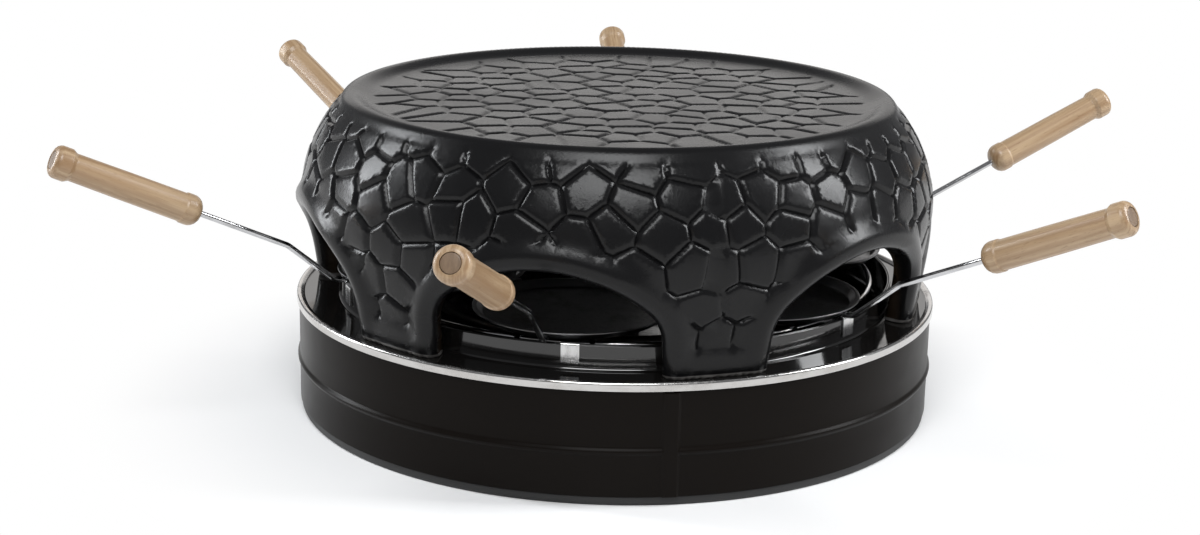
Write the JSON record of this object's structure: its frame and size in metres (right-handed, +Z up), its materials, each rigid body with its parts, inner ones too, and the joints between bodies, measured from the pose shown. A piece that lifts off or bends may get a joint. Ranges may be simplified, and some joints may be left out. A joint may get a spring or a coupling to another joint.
{
  "type": "pizza oven",
  "caption": "Table-top pizza oven: a glazed cobbled dome with arched mouths lifts off a round heated steel base, and wooden-handled pan spatulas slide in through the arches.",
  "frame": {"origin": "on the table, in the middle of the foot ring's lower face", "axes": "+Z up; the front arch faces -Y, and the switch and the cord gland are at the back, +Y"},
  "size_m": [0.6068, 0.6853, 0.197],
  "materials": {
    "foot_black": "matt black foot band",
    "plain_steel": "plain sheet steel",
    "drum_paint": "satin black heat-proof paint",
    "polished_steel": "polished sheet steel",
    "clip_steel": "bright strip steel",
    "rack_chrome": "chromed wire",
    "element_steel": "dark heater sheath",
    "fastener_steel": "zinc-plated steel",
    "block_porcelain": "white porcelain",
    "terminal_brass": "plain brass",
    "cutout_plastic": "dark phenolic resin",
    "lead_sleeve": "heat-proof sleeve",
    "switch_plastic": "fine-grained black",
    "rocker_plastic": "smooth black",
    "lens_plastic": "clear orange-red",
    "gland_rubber": "black rubber",
    "dome_glaze": "black glaze over a cobbled relief",
    "pan_steel": "dark sheet steel with a bright lip",
    "rod_chrome": "bright chromed wire",
    "grip_beech": "varnished pale beech"
  },
  "bodies": {
    "base": {"foot_ring": "foot_black", "bottom_plate": "plain_steel", "drum_wall": "drum_paint", "tray": "polished_steel", "heater_dish": "polished_steel", "rack_clips": "clip_steel", "rack_rings": "rack_chrome", "rack_rails": "rack_chrome", "lower_element": "element_steel", "lower_saddles": "clip_steel", "upper_element": "element_steel", "upper_hangers": "clip_steel", "element_pins": "clip_steel", "centre_column": "plain_steel", "reflector": "plain_steel", "column_screws": "fastener_steel", "column_nuts": "fastener_steel", "reflector_bolt": "fastener_steel", "reflector_nut": "fastener_steel", "tie_rods": "fastener_steel", "tie_nuts": "fastener_steel", "terminal_block": "block_porcelain", "terminal_screws": "terminal_brass", "thermal_cutout": "cutout_plastic", "internal_leads": "lead_sleeve", "switch_housing": "switch_plastic", "indicator_lens": "lens_plastic", "cord_gland": "gland_rubber", "gland_nut": "switch_plastic"},
    "rocker": {"switch_rocker": "rocker_plastic"},
    "dome": {"dome_roof": "dome_glaze", "dome_pillars": "dome_glaze"},
    "spatula_front": {"pan_front": "pan_steel", "rod_front": "rod_chrome", "grip_front": "grip_beech"},
    "spatula_right_front": {"pan_right_front": "pan_steel", "rod_right_front": "rod_chrome", "grip_right_front": "grip_beech"},
    "spatula_right_back": {"pan_right_back": "pan_steel", "rod_right_back": "rod_chrome", "grip_right_back": "grip_beech"},
    "spatula_back": {"pan_back": "pan_steel", "rod_back": "rod_chrome", "grip_back": "grip_beech"},
    "spatula_left_back": {"pan_left_back": "pan_steel", "rod_left_back": "rod_chrome", "grip_left_back": "grip_beech"},
    "spatula_left": {"pan_left": "pan_steel", "rod_left": "rod_chrome", "grip_left": "grip_beech"}
  },
  "joints": [
    {"name": "dome_lift", "type": "slide", "parent": "base", "child": "dome", "axis": [0, 0, 1], "range_m": [0, 0.13]},
    {"name": "rocker_tilt", "type": "hinge", "parent": "base", "child": "rocker", "pos_m": [0.04766, 0.19115, 0.05], "axis": [0, 0, -1], "range_deg": [0, 16]},
    {"name": "spatula_front_slide", "type": "slide", "parent": "base", "child": "spatula_front", "axis": [0, -1, 0], "range_m": [0, 0.15]},
    {"name": "spatula_right_front_slide", "type": "slide", "parent": "base", "child": "spatula_right_front", "axis": [0.866, -0.5, 0], "range_m": [0, 0.15]},
    {"name": "spatula_right_back_slide", "type": "slide", "parent": "base", "child": "spatula_right_back", "axis": [0.866, 0.5, 0], "range_m": [0, 0.15]},
    {"name": "spatula_back_slide", "type": "slide", "parent": "base", "child": "spatula_back", "axis": [0, 1, 0], "range_m": [0, 0.15]},
    {"name": "spatula_left_back_slide", "type": "slide", "parent": "base", "child": "spatula_left_back", "axis": [-0.866, 0.5, 0], "range_m": [0, 0.15]},
    {"name": "spatula_left_slide", "type": "slide", "parent": "base", "child": "spatula_left", "axis": [-0.866, -0.5, 0], "range_m": [0, 0.15]}
  ]
}
